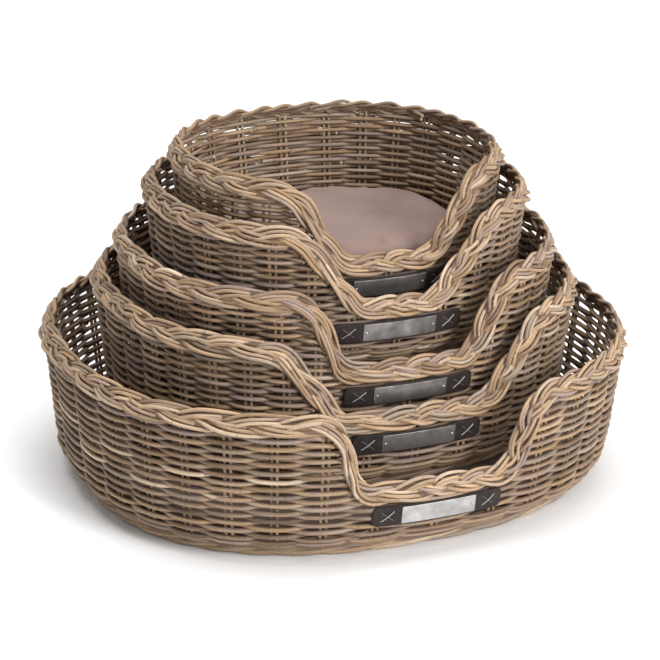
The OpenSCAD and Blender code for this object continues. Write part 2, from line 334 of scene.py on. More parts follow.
def mesh_piece(name, points, quads, material, smooth=True):
    """A new object from arrays of points and quads."""
    mesh = bpy.data.meshes.new(name)
    mesh.vertices.add(len(points))
    mesh.vertices.foreach_set("co", np.ascontiguousarray(points, np.float32).ravel())
    mesh.loops.add(len(quads) * 4)
    mesh.loops.foreach_set("vertex_index", np.ascontiguousarray(quads, np.int32).ravel())
    mesh.polygons.add(len(quads))
    mesh.polygons.foreach_set("loop_start", np.arange(len(quads), dtype=np.int32) * 4)
    mesh.update(calc_edges=True)
    mesh.polygons.foreach_set("use_smooth", np.full(len(quads), smooth))
    mesh.validate()
    mesh.materials.append(material)
    piece = bpy.data.objects.new(name, mesh)
    bpy.context.scene.collection.objects.link(piece)
    return piece


def wobble(rng, count, run, size, reach):
    """Smooth random offsets along a run: size is how far, reach is over what length they change."""
    knots = max(int(run / reach) + 2, 4)
    values = rng.normal(0, size, (knots, count))

    def at(share):
        at_knot = share * (knots - 1)
        low = np.clip(at_knot.astype(int), 0, knots - 2)
        part = at_knot - low
        part = part * part * (3 - 2 * part)
        return values[low] * (1 - part)[:, None] + values[low + 1] * part[:, None]

    return at


# ---- Materials ----


class Nodes:
    """Short names for making and joining shader nodes."""

    def __init__(self, name):
        self.material = bpy.data.materials.new(name)
        self.material.use_nodes = True
        self.tree = self.material.node_tree
        self.shader = self.tree.nodes["Principled BSDF"]

    def node(self, kind, **values):
        made = self.tree.nodes.new(kind)
        for key, value in values.items():
            setattr(made, key, value)
        return made

    def join(self, out, into):
        self.tree.links.new(out, into)

    def set(self, socket, value):
        if hasattr(value, "links"):
            self.join(value, socket)
        else:
            socket.default_value = value

    def math(self, operation, a, b=0.0, clamp=False):
        made = self.node("ShaderNodeMath", operation=operation, use_clamp=clamp)
        self.set(made.inputs[0], a)
        self.set(made.inputs[1], b)
        return made.outputs[0]

    def vector_math(self, operation, a, b):
        made = self.node("ShaderNodeVectorMath", operation=operation)
        self.set(made.inputs[0], a)
        self.set(made.inputs[1], b)
        return made.outputs[0]

    def noise(self, vector, scale, detail=3.0, roughness=0.55):
        made = self.node("ShaderNodeTexNoise")
        self.join(vector, made.inputs["Vector"])
        made.inputs["Scale"].default_value = scale
        made.inputs["Detail"].default_value = detail
        made.inputs["Roughness"].default_value = roughness
        return made.outputs["Fac"]

    def range(self, value, low, high, to_low, to_high):
        made = self.node("ShaderNodeMapRange")
        self.join(value, made.inputs["Value"])
        for socket, number in zip(("From Min", "From Max", "To Min", "To Max"), (low, high, to_low, to_high)):
            made.inputs[socket].default_value = number
        return made.outputs["Result"]

    def mix(self, share, a, b, blend="MIX"):
        made = self.node("ShaderNodeMix", data_type="RGBA", blend_type=blend)
        self.set(made.inputs[0], share)
        self.set(made.inputs[6], a)
        self.set(made.inputs[7], b)
        return made.outputs[2]

    def bump(self, height, distance, strength=1.0, normal=None):
        made = self.node("ShaderNodeBump")
        made.inputs["Strength"].default_value = strength
        made.inputs["Distance"].default_value = distance
        self.join(height, made.inputs["Height"])
        if normal is not None:
            self.join(normal, made.inputs["Normal"])
        return made.outputs["Normal"]


def colour(values):
    return (*[float(v) for v in values], 1.0)


def cane_material(name, weather, base_roughness):
    """Round cane: per-cane colour with painted shade on the sides of wall and rim canes, long fibre streaks,
    grey weathering, joints and fine bumps.
    """
    m = Nodes(name)
    tint = m.node("ShaderNodeAttribute", attribute_name="tint")
    cane = m.node("ShaderNodeAttribute", attribute_name="cane")
    long_fibre = m.vector_math("MULTIPLY", cane.outputs["Vector"], (9.0, 900.0, 900.0))
    fibre = m.noise(long_fibre, 1.0, 4.0, 0.6)
    patch_place = m.vector_math("MULTIPLY", cane.outputs["Vector"], (30.0, 160.0, 160.0))
    patches = m.noise(patch_place, 1.0, 3.0, 0.6)
    speck = m.noise(m.vector_math("MULTIPLY", cane.outputs["Vector"], (260.0, 700.0, 700.0)), 1.0, 2.0, 0.5)

    streak = m.range(fibre, 0.28, 0.72, 0.66, 1.28)
    base = m.mix(1.0, tint.outputs["Color"], streak, "MULTIPLY")
    grey = m.range(patches, 0.48, 0.72, 0.0, weather)
    base = m.mix(grey, base, colour(srgb(152, 134, 121)))
    dark = m.range(speck, 0.57, 0.75, 0.0, 0.6)
    base = m.mix(dark, base, colour(srgb(66, 48, 36)))
    blotch = m.noise(m.vector_math("MULTIPLY", cane.outputs["Vector"], (14.0, 60.0, 60.0)), 1.0, 3.0, 0.6)
    base = m.mix(1.0, base, m.range(blotch, 0.3, 0.7, 0.8, 1.15), "MULTIPLY")

    apart = m.node("ShaderNodeSeparateXYZ")
    m.join(cane.outputs["Vector"], apart.inputs[0])
    along = m.math("FRACT", m.math("MULTIPLY", apart.outputs["X"], 5.3))
    ring = m.range(m.math("ABSOLUTE", m.math("SUBTRACT", along, 0.5)), 0.0, 0.008, 1.0, 0.0)
    base = m.mix(m.math("MULTIPLY", ring, 0.5), base, colour(srgb(84, 62, 44)))
    m.join(base, m.shader.inputs["Base Color"])

    roughness = m.range(fibre, 0.3, 0.7, base_roughness + 0.12, base_roughness - 0.08)
    m.join(roughness, m.shader.inputs["Roughness"])
    m.shader.inputs["Specular IOR Level"].default_value = 0.35
    coarse = m.bump(patches, 0.0008, 0.5)
    m.join(m.bump(fibre, 0.0006, 0.7, coarse), m.shader.inputs["Normal"])
    return m.material


def leather_material():
    m = Nodes("leather")
    place = m.node("ShaderNodeTexCoord").outputs["Object"]
    grain = m.node("ShaderNodeTexVoronoi", feature="DISTANCE_TO_EDGE")
    m.join(place, grain.inputs["Vector"])
    grain.inputs["Scale"].default_value = 900
    pores = m.range(grain.outputs["Distance"], 0.0, 0.25, 0.0, 1.0)
    cloudy = m.noise(place, 60, 4)
    worn = m.noise(place, 240, 4, 0.7)
    base = m.mix(m.range(cloudy, 0.35, 0.7, 0.0, 1.0), colour(srgb(30, 23, 21)), colour(srgb(48, 38, 34)))
    base = m.mix(m.range(worn, 0.58, 0.75, 0.0, 0.5), base, colour(srgb(78, 62, 54)))
    m.join(base, m.shader.inputs["Base Color"])
    m.join(m.range(worn, 0.3, 0.7, 0.46, 0.68), m.shader.inputs["Roughness"])
    m.shader.inputs["Specular IOR Level"].default_value = 0.3
    m.join(m.bump(worn, 0.0004, 0.5, m.bump(pores, 0.0003, 0.6)), m.shader.inputs["Normal"])
    return m.material


def steel_material(name, low, high, roughness):
    """Brushed steel with smudges; low and high are its darkest and lightest screen greys."""
    m = Nodes(name)
    place = m.node("ShaderNodeTexCoord").outputs["Object"]
    brushed = m.noise(m.vector_math("MULTIPLY", place, (40.0, 40.0, 2600.0)), 1.0, 3.0, 0.6)
    smudge = m.noise(place, 45, 4, 0.6)
    base = m.mix(m.range(smudge, 0.35, 0.7, 0.0, 1.0), colour(srgb(*low)), colour(srgb(*high)))
    base = m.mix(m.range(brushed, 0.3, 0.7, 0.0, 0.35), base, colour(srgb(*[v * 0.8 for v in high])))
    m.join(base, m.shader.inputs["Base Color"])
    m.shader.inputs["Metallic"].default_value = 0.85
    m.join(m.range(smudge, 0.3, 0.7, roughness + 0.14, roughness - 0.05), m.shader.inputs["Roughness"])
    m.join(m.bump(brushed, 0.00008, 0.5), m.shader.inputs["Normal"])
    return m.material


def thread_material():
    m = Nodes("thread")
    cane = m.node("ShaderNodeAttribute", attribute_name="cane")
    tint = m.node("ShaderNodeAttribute", attribute_name="tint")
    twist = m.noise(m.vector_math("MULTIPLY", cane.outputs["Vector"], (900.0, 300.0, 300.0)), 1.0, 2.0)
    base = m.mix(1.0, tint.outputs["Color"], m.range(twist, 0.3, 0.7, 0.7, 1.15), "MULTIPLY")
    m.join(base, m.shader.inputs["Base Color"])
    m.shader.inputs["Roughness"].default_value = 0.6
    m.join(m.bump(twist, 0.0004, 0.6), m.shader.inputs["Normal"])
    return m.material


def cloth_material(name, light, dark):
    """Plain woven cloth: crossed threads as bump, slubs and faint creases."""
    m = Nodes(name)
    place = m.node("ShaderNodeTexCoord").outputs["Object"]
    warp = m.node("ShaderNodeTexWave", bands_direction="X", wave_profile="SIN")
    weft = m.node("ShaderNodeTexWave", bands_direction="Y", wave_profile="SIN")
    for wave in (warp, weft):
        m.join(place, wave.inputs["Vector"])
        wave.inputs["Scale"].default_value = 260
        wave.inputs["Distortion"].default_value = 1.2
        wave.inputs["Detail"].default_value = 1
    threads = m.math("MULTIPLY", warp.outputs["Fac"], weft.outputs["Fac"])
    slub = m.noise(m.vector_math("MULTIPLY", place, (60.0, 900.0, 900.0)), 1.0, 2.0)
    soft = m.noise(place, 9, 4, 0.6)
    base = m.mix(m.range(soft, 0.35, 0.68, 0.0, 1.0), colour(dark), colour(light))
    base = m.mix(m.range(threads, 0.0, 1.0, 0.22, 0.0), base, colour(np.asarray(dark) * 0.7))
    base = m.mix(m.range(slub, 0.62, 0.78, 0.0, 0.3), base, colour(np.asarray(light) * 1.1))
    m.join(base, m.shader.inputs["Base Color"])
    m.join(m.range(slub, 0.3, 0.7, 0.9, 0.8), m.shader.inputs["Roughness"])
    m.shader.inputs["Sheen Weight"].default_value = 0.12
    m.shader.inputs["Specular IOR Level"].default_value = 0.25
    m.join(m.bump(threads, 0.0003, 0.5), m.shader.inputs["Normal"])
    return m.material


RATTAN = cane_material("rattan", 0.55, 0.58)
RIM_CANE = cane_material("rim_cane", 0.35, 0.52)
STAKE_CANE = cane_material("stake_cane", 0.25, 0.58)
LEATHER = leather_material()
BRIGHT_STEEL = steel_material("bright_steel", (160, 158, 157), (196, 195, 194), 0.36)
AGED_STEEL = steel_material("aged_steel", (104, 99, 97), (150, 146, 143), 0.38)
NAIL_STEEL = steel_material("nail_steel", (150, 150, 150), (220, 220, 220), 0.25)
THREAD = thread_material()
CLOTH = cloth_material("cushion_cloth", srgb(138, 115, 107), srgb(122, 102, 95))


def finish_piece(piece, body, node):
    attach(piece, body)
    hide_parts(node)


# ---- Woven wall ----

ROW_PITCH = dict(xl=6.4 * MM, l=6.0 * MM, m=6.0 * MM, s=6.0 * MM, xs=5.8 * MM)
CANE_SHARE = 0.565
WEAVE_SWING = 4.9 * MM
CANE_STEP = 7 * MM
TURN_HEIGHTS = (22 * MM, 62 * MM)
TURN_SWING = 0.45
TURN_STAKE_INSET = 2 * MM
# How strongly painted shade darkens the sides of wall canes and of rim canes
WALL_PAINTED_SHADE = 0.5
RIM_PAINTED_SHADE = 0.34
UP = np.array([0.0, 0.0, 1.0])
ROW_END_GAP = 12 * MM
LOWEST_ROW = FOOT_HEIGHT + 1 * MM
TOP_ROW_DROP = 9 * MM
# Spans along a row, as outline angles in radians
SHORTEST_ROW = 1.0
CANE_SPANS = (2.0, 3.6)
SHORTEST_SPAN = 0.9
CANE_LAP = 26 * MM
TUCK_LENGTH = 14 * MM
TUCK_DEPTH = 5 * MM
ROW_SWAY = 0.55 * MM
ROW_SWAY_REACH = 90 * MM


def weave_swing(basket, t, row):
    """How far a row's cane lies outside the wall's middle: out at one stake and in at the next."""
    wave = np.cos(basket.stakes * (t - math.pi / 2) / 2 + math.pi * row)
    return WEAVE_SWING * np.tanh(1.5 * wave) / math.tanh(1.5)


def row_span(basket, z):
    """Start and end of a row as outline angles, and whether it goes all the way round."""
    t = np.linspace(1.5 * math.pi, 2 * math.pi, 4000)
    clear = basket.rim_z - basket.drop(t) - z
    if clear[0] > ROW_END_GAP:
        return 1.5 * math.pi, 3.5 * math.pi, True
    free = np.nonzero(clear > ROW_END_GAP)[0]
    start = t[free[0]] if len(free) else t[-1]
    x = basket.half_length * math.cos(start) ** (2 / OVAL_POWER) + ROW_END_GAP
    start = 1.5 * math.pi + math.asin(min((x / basket.half_length) ** (OVAL_POWER / 2), 1.0))
    return start, 5 * math.pi - start, False


def row_cuts(rng, start, end):
    """Outline angles where one cane of a row ends and the next starts."""
    cuts = [start]
    while cuts[-1] < end - SHORTEST_SPAN:
        cuts.append(min(cuts[-1] + rng.uniform(*CANE_SPANS), end))
    if end - cuts[-1] > 0:
        cuts.append(end)
    return cuts


def row_path(basket, rng, row, z, first, last, at_start, at_end):
    """One cane of a row. Its ends tuck inside the wall, except at the edges of the entry."""
    around = math.pi * (basket.half_length + basket.half_width)
    lap = 0.0 if at_end else CANE_LAP / basket.half_length
    span = last + lap - first
    count = max(int(span / (2 * math.pi) * around / CANE_STEP), 12)
    t = np.linspace(first, last + lap, count)
    share = np.linspace(0, 1, count)
    off = weave_swing(basket, t, row) * np.interp(z, TURN_HEIGHTS, (TURN_SWING, 1.0))
    sway = wobble(rng, 2, span / (2 * math.pi) * around, ROW_SWAY, ROW_SWAY_REACH)(share)
    length = share * span / (2 * math.pi) * around
    tuck = np.minimum(length, length[-1] - length) / TUCK_LENGTH
    edge = np.clip(1 - tuck, 0, 1) ** 2
    if not at_start:
        off = off - edge * (share < 0.5) * TUCK_DEPTH
    if not at_end:
        off = off - edge * (share >= 0.5) * TUCK_DEPTH
    height = z + sway[:, 0]
    path = basket.wall(t, height) + basket.wall_out(t, height) * (off + sway[:, 1])[:, None]
    pitch = ROW_PITCH[basket.name]
    return turn_row_ends(path, at_start, at_end, pitch if row % 2 else -pitch)


def weave_wall(basket):
    rng = np.random.default_rng(101 + SIZES.index(basket.name))
    canes = Canes()
    pitch = ROW_PITCH[basket.name]
    heights = basket.section_heights(pitch, LOWEST_ROW, basket.rim_z - TOP_ROW_DROP)
    for row, z in enumerate(heights):
        start, end, closed = row_span(basket, z)
        if not closed and end - start < SHORTEST_ROW:
            continue
        if closed:
            shift = rng.uniform(0, 2 * math.pi)
            start, end = start + shift, end + shift
        cuts = row_cuts(rng, start, end)
        for first, last in zip(cuts, cuts[1:]):
            at_start = not closed and first == start
            at_end = not closed and last == end
            path = row_path(basket, rng, row, z, first, last, at_start, at_end)
            thick = CANE_SHARE * pitch * rng.uniform(0.90, 1.08)
            radius = thick * (1 + 0.05 * wobble(rng, 1, 1.0, 1.0, 0.06)(np.linspace(0, 1, len(path)))[:, 0])
            # Painted shade: the top and bottom of each row's cane are darkened where the neighbouring rows
            # shade it
            canes.add(path, radius, cane_tint(rng, WALL_MIX, len(path)), UP, rng.random(), side_painted_shade)
    return canes.build(basket.name + "_woven_wall", RATTAN)


def cane_tint(rng, mix, count):
    """Colours along one cane, which drift a little from its own tint."""
    tint = pick_tint(rng, mix)
    other = pick_tint(rng, mix)
    drift = np.clip(0.25 + 0.25 * wobble(rng, 1, 1.0, 1.0, 0.3)(np.linspace(0, 1, count)), 0, 0.8)
    return tint * (1 - drift) + other * drift


def turn_row_ends(path, at_start, at_end, rise):
    """Curls a cane's end round the edge of the entry, up to the row above or down to the one below."""
    lift = rise / 2
    if at_start:
        path = np.concatenate([end_curl(path[0], path[1], lift), path])
    if at_end:
        path = np.concatenate([path, end_curl(path[-1], path[-2], lift)[::-1]])
    return path


def end_curl(tip, before, lift):
    """Points of a small half turn that starts away from tip and meets it."""
    along = (tip - before) / np.linalg.norm(tip - before)
    angles = np.radians([88, 55, 25])
    return np.array([tip + along * abs(lift) * np.sin(a) + UP * lift * (1 - np.cos(a)) for a in angles])


# ---- Stakes ----

STAKE_R = 2.5 * MM
STAKE_PAIR = 8.5 * MM
STAKE_BOTTOM = 10 * MM
STAKE_TOP_GAP = 2 * MM
STAKE_SWAY = 0.5 * MM
STAKE_SWAY_REACH = 60 * MM
STAKE_LENGTH = 0.24


def make_stakes(basket):
    rng = np.random.default_rng(211 + SIZES.index(basket.name))
    canes = Canes()
    for k in range(basket.stakes):
        t = math.pi / 2 + 2 * math.pi * k / basket.stakes
        top = basket.rim_z - float(basket.drop(np.array(t))) - STAKE_TOP_GAP
        turn = np.linspace(STAKE_BOTTOM, FOOT_ROUND_HEIGHT, 7)
        upright = np.linspace(FOOT_ROUND_HEIGHT, top, 7)
        z = np.concatenate([turn, upright[1:]])
        ahead = basket.wall(t + 0.01, top) - basket.wall(t - 0.01, top)
        along = ahead / np.linalg.norm(ahead)
        for side in (-1, 1):
            sway = wobble(rng, 1, STAKE_LENGTH, STAKE_SWAY, STAKE_SWAY_REACH)(np.linspace(0, 1, len(z)))
            inset = np.interp(z, TURN_HEIGHTS, (TURN_STAKE_INSET, 0.0))
            path = basket.wall(t, z, -inset) + along * (side * STAKE_PAIR / 2 + sway)
            radius = STAKE_R * rng.uniform(0.9, 1.08)
            canes.add(path, radius, cane_tint(rng, STAKE_MIX, len(z)), along, rng.random())
    return canes.build(basket.name + "_upright_stakes", STAKE_CANE)


# ---- Plaited border ----

BORDER_STEP = 7 * MM
BORDER_CANE_R = 2.8 * MM
BAND_TILT = math.radians(32)
BAND_HALF = 8.4 * MM
BAND_DEPTH = 3.7 * MM
BAND_PLATEAU = 1.1
LOOSENESS = 0.2
CORE_CANE_R = 3.0 * MM
CORE_PLACES = (-8 * MM, -3 * MM, 3 * MM, 8 * MM)
CORE_DEPTH = -1.5 * MM
GROUPS = 3
GROUP_PLACES = (-1.0, 0.0, 1.0)
GROUP_SPREAD = 2.05
STRAND_LENGTHS = (0.45, 1.0)
STRAND_LAP_STEPS = 6
SHORTEST_STRAND_STEPS = 8
STRAND_SWAY = 1.0 * MM
STRAND_SWAY_REACH = 70 * MM
STRAND_END = 45 * MM
STRAND_END_DEPTH = 7 * MM
STRAND_END_PULL = 0.35


def rim_frame(basket):
    """Even points of the rim's centre line, their directions out and up, outline angles and run."""
    t = np.linspace(1.5 * math.pi, 3.5 * math.pi, 6001)
    path = basket.wall(t, basket.rim_z - basket.drop(t))
    run = np.concatenate([[0], np.cumsum(np.linalg.norm(np.diff(path, axis=0), axis=1))])
    count = int(run[-1] / BORDER_STEP)
    even = np.linspace(0, run[-1], count + 1)
    points = np.stack([np.interp(even, run, path[:, k]) for k in range(3)], -1)
    angle = np.interp(even, run, t)
    padded = np.concatenate([points[-4:-1], points, points[1:4]])
    along = padded[4:-2] - padded[2:-4]
    along /= np.linalg.norm(along, axis=1)[:, None]
    out = np.cross(along, UP)
    out /= np.linalg.norm(out, axis=1)[:, None]
    return points, out, np.cross(out, along), angle, even


def braid_spacing(angle, basket):
    """Distance from one arch of the plait to the next: longest to the left of the entry."""
    turn = (angle - 1.5 * math.pi) / (2 * math.pi)
    marks = [0.0, 0.06, 0.5, 0.75, 0.88, 0.95, 0.98, 1.0]
    values = [58, 58, 60, 72, 90, 110, 90, 60]
    return np.interp(turn, marks, values) * MM * (0.6 + 0.45 * basket.half_length)


def strand_offsets(rng, own, size, offset):
    """How far one cane of the plait lies across the band and in front of it, and its radius."""
    share = np.linspace(0, 1, size)
    sway = wobble(rng, 2, size * BORDER_STEP, STRAND_SWAY, STRAND_SWAY_REACH)(share)
    radius = BORDER_CANE_R * rng.uniform(0.9, 1.08)
    spread = offset * GROUP_SPREAD * BORDER_CANE_R
    turn = own + rng.uniform(-LOOSENESS, LOOSENESS)
    edge = np.tanh(BAND_PLATEAU * np.sin(turn)) / math.tanh(BAND_PLATEAU)
    across = BAND_HALF * edge + spread + sway[:, 0]
    deep = BAND_DEPTH * np.sin(2 * turn) + sway[:, 1]
    length = share * size * BORDER_STEP
    near_end = np.clip(1 - np.minimum(length, length[-1] - length) / STRAND_END, 0, 1)
    deep = deep - near_end ** 2 * STRAND_END_DEPTH
    across = across * (1 - STRAND_END_PULL * near_end ** 2)
    return across[:, None], deep[:, None], radius


def make_rim(basket):
    """Three groups of canes that cross like a plait, over a core of canes that run straight."""
    rng = np.random.default_rng(307 + SIZES.index(basket.name))
    canes = Canes()
    points, out, up, angle, even = rim_frame(basket)
    step = np.gradient(even)
    phase = np.cumsum(2 * math.pi * step / (GROUPS * braid_spacing(angle, basket)))
    turns = phase[-1] / (2 * math.pi)
    phase *= max(round(turns), 1) / turns
    band = -math.sin(BAND_TILT) * out + math.cos(BAND_TILT) * up
    face = math.cos(BAND_TILT) * out + math.sin(BAND_TILT) * up
    total = len(points)
    for group in range(GROUPS):
        own = phase + 2 * math.pi * group / GROUPS
        for offset in GROUP_PLACES:
            place = rng.integers(0, total)
            left = total
            while left > SHORTEST_STRAND_STEPS:
                size = min(int(rng.uniform(*STRAND_LENGTHS) / BORDER_STEP), left + STRAND_LAP_STEPS)
                index = (place + np.arange(size)) % (total - 1)
                across, deep, radius = strand_offsets(rng, own[index], size, offset)
                path = points[index] + band[index] * across + face[index] * deep
                # Painted shade: every side of a plait cane but the outer one is darkened where the other
                # canes shade it
                canes.add(path, radius, cane_tint(rng, RIM_MIX, size), face[index], rng.random(), back_painted_shade)
                place += size - STRAND_LAP_STEPS
                left -= size - STRAND_LAP_STEPS
    for across in CORE_PLACES:
        path = points + band * across + face * CORE_DEPTH
        canes.add(path, CORE_CANE_R, cane_tint(rng, CORE_MIX, total), face, rng.random())
    return canes.build(basket.name + "_plaited_rim", RIM_CANE)


# ---- Foot border ----

FOOT_CANE_R = 4.6 * MM
FOOT_TWIST = 4.0 * MM
FOOT_STEP = 7 * MM
FOOT_INSET = 9.5 * MM
FOOT_MIDDLE = 9 * MM
FOOT_START = 0.4
FOOT_LAP_STEPS = 3


def make_foot(basket):
    """Three thick canes that twist round each other once in three stakes."""
    rng = np.random.default_rng(401 + SIZES.index(basket.name))
    canes = Canes()
    around = math.pi * (basket.half_length + basket.half_width)
    count = int(around / FOOT_STEP)
    t = np.linspace(0, 2 * math.pi, count + 1) + FOOT_START
    centre_out = WALL_HALF - FOOT_INSET
    here = basket.wall(t, FOOT_HEIGHT, centre_out)
    here[:, 2] = basket.base + FOOT_MIDDLE
    out = basket.wall(t, FOOT_HEIGHT, centre_out + 1.0) - basket.wall(t, FOOT_HEIGHT, centre_out)
    out /= np.linalg.norm(out, axis=1)[:, None]
    for strand in range(3):
        turn = t * basket.stakes / 3 + 2 * math.pi * strand / 3
        path = here + out * (FOOT_TWIST * np.cos(turn))[:, None] + UP * (FOOT_TWIST * np.sin(turn))[:, None]
        cuts = [0, int(count * rng.uniform(0.28, 0.38)), int(count * rng.uniform(0.62, 0.72)), count]
        for first, last in zip(cuts, cuts[1:]):
            part = path[first:last + FOOT_LAP_STEPS]
            radius = FOOT_CANE_R * rng.uniform(0.95, 1.03)
            canes.add(part, radius, cane_tint(rng, FOOT_MIX, len(part)), UP, rng.random())
    return canes.build(basket.name + "_foot_wale", RATTAN)


# ---- Floor ----

FLOOR_CANE_R = 3.6 * MM
FLOOR_BAR_R = 2.8 * MM
FLOOR_EDGE_R = 4.8 * MM
FLOOR_PITCH = 7.8 * MM
FLOOR_SWING = 2.2 * MM
FLOOR_STEP = 12 * MM
FLOOR_TUCK = 3 * MM
SHORTEST_FLOOR_HALF = 30 * MM
BAR_GAP = 62 * MM
BAR_PAIR_HALF = 3.5 * MM
BAR_END_GAP = 20 * MM


def make_floor(basket):
    """Canes across the oval that pass over and under pairs of bars."""
    rng = np.random.default_rng(503 + SIZES.index(basket.name))
    canes = Canes(sides=6)
    a, b = basket.halves(FOOT_HEIGHT)
    a, b = a + WALL_HALF - FOOT_WIDTH + FLOOR_TUCK, b + WALL_HALF - FOOT_WIDTH + FLOOR_TUCK
    middle = basket.base + (FLOOR_LIFT + FLOOR_TOP) / 2
    rows = int(2 * b / FLOOR_PITCH)
    for row in range(rows):
        y = -b + (row + 0.5) * 2 * b / rows
        half = oval_reach(y, a, b)
        if half < SHORTEST_FLOOR_HALF:
            continue
        count = max(int(2 * half / FLOOR_STEP), 6)
        x = np.linspace(-half, half, count)
        swing = FLOOR_SWING * np.cos(math.pi * x / BAR_GAP + math.pi * row)
        path = np.stack([x, np.full(count, y + CENTRE_SHIFT), middle + swing], -1)
        radius = FLOOR_CANE_R * rng.uniform(0.93, 1.05)
        canes.add(path, radius, cane_tint(rng, WALL_MIX, count), UP, rng.random())
    bars = int(2 * a / BAR_GAP / 2) * 2 + 1
    for k in range(bars):
        x = (k - (bars - 1) / 2) * BAR_GAP
        if abs(x) > a - BAR_END_GAP:
            continue
        half = oval_reach(x, b, a)
        for side in (-1, 1):
            y = np.linspace(-half, half, 10)
            bar_x = np.full(10, x + side * BAR_PAIR_HALF)
            path = np.stack([bar_x, y + CENTRE_SHIFT, np.full(10, middle)], -1)
            canes.add(path, FLOOR_BAR_R, cane_tint(rng, STAKE_MIX, 10), UP, rng.random())
    t = np.linspace(0, 2 * math.pi, 181)
    edge = np.stack([
        a * signed_power(np.cos(t), 2 / OVAL_POWER),
        b * signed_power(np.sin(t), 2 / OVAL_POWER) + CENTRE_SHIFT,
        np.full(len(t), middle),
    ], -1)
    canes.add(edge, FLOOR_EDGE_R, cane_tint(rng, WALL_MIX, len(t)), UP, rng.random())
    return canes.build(basket.name + "_woven_floor", RATTAN)


# ---- Name strap ----


def rounded_outline(half_x, half_y, corner, straight_x=30, arc=6):
    """Points round a rounded rectangle, anticlockwise."""
    corner = max(min(corner, half_x, half_y) - 1e-6, 1e-6)
    points = []
    for turn, (sx, sy) in enumerate([(1, -1), (1, 1), (-1, 1), (-1, -1)]):
        for k in range(arc + 1):
            angle = math.radians(-90 + 90 * turn + 90 * k / arc)
            points.append((
                sx * (half_x - corner) + corner * math.cos(angle),
                sy * (half_y - corner) + corner * math.sin(angle),
            ))
        if turn in (1, 3):
            first = points[-1]
            last_x = -first[0]
            for k in range(1, straight_x):
                points.append((first[0] + (last_x - first[0]) * k / straight_x, first[1]))
    return np.roll(np.array(points), -(arc + 1), axis=0)


def tube_quads(rings, around, start=0):
    """Quads that join each ring of points to the next, counted from point number start."""
    k = np.arange(around)
    ahead = (k + 1) % around
    quads = []
    for j in range(rings - 1):
        low, high = start + j * around, start + (j + 1) * around
        quads.append(np.stack([low + k, low + ahead, high + ahead, high + k], -1))
    return quads


def cap_quads(rings, around, start=0):
    """Quads that close the first and the last ring."""
    h = np.arange(around // 2 - 1)
    cap = start + np.stack([h, h + 1, around - 2 - h, around - 1 - h], -1)
    return [cap[:, ::-1], cap + (rings - 1) * around]


def curved_slab(basket, length, height, corner, rings, name, material):
    """A slab that follows the front of the basket. rings are pairs of inset and distance from the wall."""
    points = []
    for inset, out in rings:
        outline = rounded_outline(length / 2 - inset, height / 2 - inset, corner - inset)
        points.append(basket.front(outline[:, 0], np.full(len(outline), out), outline[:, 1]))
    around = len(points[0])
    quads = tube_quads(len(rings), around) + cap_quads(len(rings), around)
    return mesh_piece(name, np.concatenate(points), np.concatenate(quads), material)


def make_strap(basket):
    t = STRAP_THICKNESS
    rings = [(1.2 * MM, 0.0), (0.3 * MM, 0.3 * MM), (0.0, 1.0 * MM), (0.0, t - 1.0 * MM)]
    rings += [(0.4 * MM, t - 0.3 * MM), (1.2 * MM, t)]
    rings += [(inset * MM, t) for inset in (3, 5, 8, 11, 14)]
    name = basket.name + "_leather_strap"
    return curved_slab(basket, STRAP_LENGTH, STRAP_HEIGHT, STRAP_CORNER, rings, name, LEATHER)


def make_plate(basket):
    low, high = STRAP_THICKNESS, STRAP_THICKNESS + PLATE_THICKNESS
    rings = [(0.0, low), (0.0, high - 0.4 * MM), (0.15 * MM, high - 0.1 * MM), (0.5 * MM, high)]
    rings += [(inset * MM, high) for inset in (2, 5, 9, 12)]
    steel = BRIGHT_STEEL if basket.name == "xl" else AGED_STEEL
    name = basket.name + "_blank_plate"
    return curved_slab(basket, PLATE_LENGTH, PLATE_HEIGHT, PLATE_CORNER, rings, name, steel)


def make_nails(basket):
    """Two small domed nail heads with their shanks."""
    points, quads = [], []
    shank = [(0.6, -5.0), (0.8, -4.6), (0.8, 0.0)]
    dome = [(2.0, 0.0), (2.05, 0.2), (1.7, 0.62), (1.1, 0.9), (0.4, 1.02), (0.05, 1.04)]
    rings = shank + dome
    face = STRAP_THICKNESS + PLATE_THICKNESS
    sides = 16
    angle = np.arange(sides) * 2 * math.pi / sides
    for side in (-1, 1):
        x = side * (PLATE_LENGTH / 2 - NAIL_INSET)
        start = len(points) * sides
        for r, out in rings:
            out = np.full(sides, face + out * MM)
            points.append(basket.front(x + r * MM * np.cos(angle), out, r * MM * np.sin(angle)))
        quads += tube_quads(len(rings), sides, start) + cap_quads(len(rings), sides, start)
    return mesh_piece(basket.name + "_nail_heads", np.concatenate(points), np.concatenate(quads), NAIL_STEEL)


BRIGHT_THREAD = srgb(160, 160, 155)
DARK_THREAD = srgb(82, 78, 74)
THREAD_R = 0.75 * MM


def make_stitches(basket):
    """A crossed stitch of thread near each end of the strap."""
    rng = np.random.default_rng(601 + SIZES.index(basket.name))
    canes = Canes()
    share = np.linspace(-1, 1, 15)
    for side in (-1, 1):
        for slant in (-1, 1):
            x = side * (STRAP_LENGTH / 2 - STITCH_INSET) + slant * STITCH_REACH[0] * share
            up = STITCH_REACH[1] * share
            lift = np.interp(np.abs(share), [0, 0.8, 0.93, 1.0], [0.75, 0.6, 0.2, -1.2])
            lift = lift + (0.7 if slant > 0 else 0.0) * np.maximum(1 - (share / 0.4) ** 2, 0)
            path = basket.front(x, STRAP_THICKNESS + lift * MM, up)
            shade = BRIGHT_THREAD if slant > 0 else DARK_THREAD
            canes.add(path, THREAD_R, shade * rng.uniform(0.9, 1.1), UP, rng.random())
    return canes.build(basket.name + "_cross_stitches", THREAD)


# ---- Cushions ----


